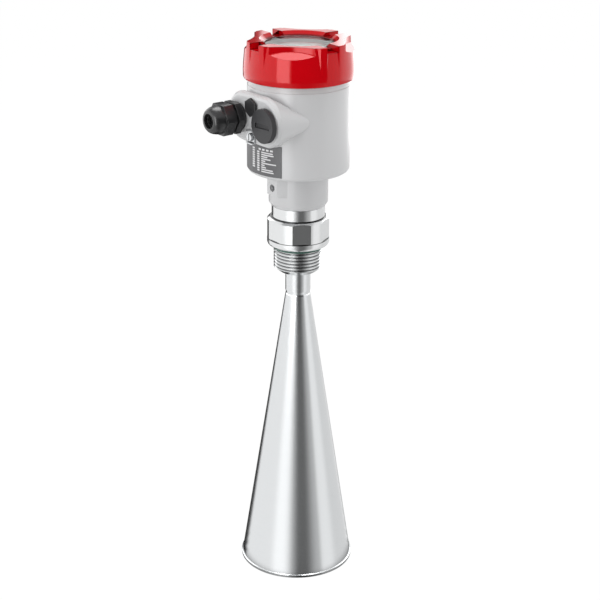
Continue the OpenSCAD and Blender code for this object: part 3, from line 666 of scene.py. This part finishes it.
def reflection_wall(name, profile, base, windows, near=1.0, mouth=1e-6):
    """A wall round the Z axis, from a profile of (radius, height) pairs and a base level.

    A window is (level, start, end, soft start, soft end), with angles in degrees. A ray mirrored
    at azimuth a of the mouth leaves at 2a, and meets a ring of radius r at the point
    mouth * (sin a, cos a) + way * (sin 2a, cos 2a). The windows are laid out on 2a, which keeps
    each band straight from the top of the horn to its rim. Near is the share of its level that
    the wall keeps beside the rim. With a tiny mouth, 2a is simply the azimuth.
    """
    turn = np.arange(-180.0, 180.0, 0.5)
    ring = np.radians(turn)[:, None]
    radius, height = np.array(profile).T
    a = np.radians(np.arange(-90.0, 90.5, 0.5))
    level = np.empty((len(turn), len(radius)))
    for column, r in enumerate(radius):
        way = np.sqrt(r ** 2 - (mouth * np.sin(a)) ** 2) - mouth * np.cos(a)
        meets = np.arctan2(mouth * np.sin(a) + way * np.sin(2 * a),
                           mouth * np.cos(a) + way * np.cos(2 * a))
        meets[0], meets[-1] = -abs(meets[0]), abs(meets[-1])
        leaves = np.interp(turn, np.degrees(meets), np.degrees(2 * a))
        level[:, column] = base
        for target, *extent in windows:
            level[:, column] += (target - level[:, column]) * soft_window(leaves, *extent)
    # Painted shade on the mirrored floor beside the rim: the level falls to the near share there.
    level *= near + (1 - near) * np.clip((radius - MOUTH_RADIUS * 1.04) / 0.008, 0, 1)
    points = np.stack([radius * np.sin(ring), -radius * np.cos(ring), height + ring * 0], axis=-1)
    material, tree, _ = new_finish(name + "_finish")
    reader = add_node(tree, "ShaderNodeAttribute", {"attribute_name": "level"})
    glow = tree.nodes.new("ShaderNodeEmission")
    tree.links.new(reader.outputs["Fac"], glow.inputs["Strength"])
    tree.links.new(glow.outputs["Emission"], tree.nodes["Material Output"].inputs["Surface"])
    wall = grid_mesh(name, points, material, closed=True)
    store = wall.data.attributes.new("level", "FLOAT", "POINT")
    store.data.foreach_set("value", level.reshape(-1).astype(np.float32))
    gloss_only(wall)
    print(name, "levels from", round(level.min(), 2), "to", round(level.max(), 2))


MOUTH_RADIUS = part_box("horn_antenna")[1][0]
STUDIO_RADIUS = 0.5
WALL_SPLIT = FLOOR_Z + 0.175
WALL_TOP = FLOOR_Z + 0.60
APRON_Z = FLOOR_Z + 0.0001
APRON_STEPS = (0, 0.003, 0.006, 0.014, 0.025, 0.04, 0.06, 0.09, 0.14, 0.22, 0.32)
apron = [(MOUTH_RADIUS * 1.002 + step, APRON_Z) for step in APRON_STEPS]
LOWER_WINDOWS = [
    (1.33, -42, -29, 20, 13),     # bright board, front left
    (0.58, -8, 51, 12, 10),       # grey card, front right
    (0.15, 6, 20, 20, 30),        # black card in the middle of it
    (0.84, 100, 150, 20, 10),     # softer board, back right
    (0.03, -180, -146, 1, 12),    # black card, back left
    (0.4, 168, 180, 10, 1)]       # grey card straight behind
UPPER_WINDOWS = [
    (7.0, -42.5, -20, 3, 3),      # strip lamp, front left
    (0.04, -13.5, 56, 5, 5),      # black card, front right
    (1.2, 62, 87, 6, 10),         # board, right
    (3.0, 146, 175.2, 20, 0.8),   # bright board, back right
    (1.3, 176, 180, 0.8, 1),      # soft board straight behind, right half
    (1.3, -180, -176.8, 1, 0.8),  # and its left half
    (0.08, -175.4, -158, 0.8, 8)]  # black card, back left
reflection_wall("lower_wall", apron + [(STUDIO_RADIUS, APRON_Z), (STUDIO_RADIUS, WALL_SPLIT)],
                1.05, LOWER_WINDOWS, near=0.3, mouth=MOUTH_RADIUS)
reflection_wall("upper_wall", [(STUDIO_RADIUS, WALL_SPLIT), (STUDIO_RADIUS, WALL_TOP)], 1.9,
                UPPER_WINDOWS)

# %% Overhead softbox, seen in gloss only
ROOF_RADIUS, ROOF_BACK, ROOF_Z = 0.42, 0.50, FLOOR_Z + 1.35
roof_turn = np.radians(np.arange(0, 360, 10.0))[:, None]
roof_radius = np.array([0.001, ROOF_RADIUS])
roof_points = np.stack([roof_radius * np.sin(roof_turn),
                        roof_radius * np.cos(roof_turn) + ROOF_BACK,
                        roof_radius * 0 + roof_turn * 0 + ROOF_Z], axis=-1)
roof_finish, roof_tree, _ = new_finish("roof_finish")
roof_glow = add_node(roof_tree, "ShaderNodeEmission", Strength=7.5)
roof_tree.links.new(roof_glow.outputs["Emission"],
                    roof_tree.nodes["Material Output"].inputs["Surface"])
roof = grid_mesh("roof", roof_points, roof_finish, closed=True)
gloss_only(roof)
print("roof at", round(ROOF_Z, 3))

# %% [markdown]
# ## Studio: lamps
# The lamps only give soft light to matt surfaces, a little stronger from the left, and leave all
# the mirroring to the walls.

# %% Lamps


LAMP_AIM = 0.295


def area_lamp(name, azimuth, elevation, distance, width, height, watts):
    """A rectangular soft lamp at that direction from the head of the object, aimed at it."""
    aim = Vector((0, 0, FLOOR_Z + LAMP_AIM))
    a, e = math.radians(azimuth), math.radians(elevation)
    away = Vector((math.sin(a) * math.cos(e), -math.cos(a) * math.cos(e), math.sin(e)))
    data = bpy.data.lights.new(name, "AREA")
    data.shape = "RECTANGLE"
    data.size = width
    data.size_y = height
    data.energy = watts
    lamp = linked_object(name, data)
    lamp.location = aim + away * distance
    lamp.rotation_euler = (-away).to_track_quat("-Z", "Y").to_euler()
    lamp.visible_glossy = False


area_lamp("lamp_left", -62, 10, 1.6, 0.8, 1.6, 11.5)
area_lamp("lamp_top", -10, 75, 1.5, 1.0, 1.0, 10.0)
area_lamp("lamp_right", 75, 15, 1.7, 1.0, 1.4, 5.0)
print("lamps", len(bpy.data.lights))
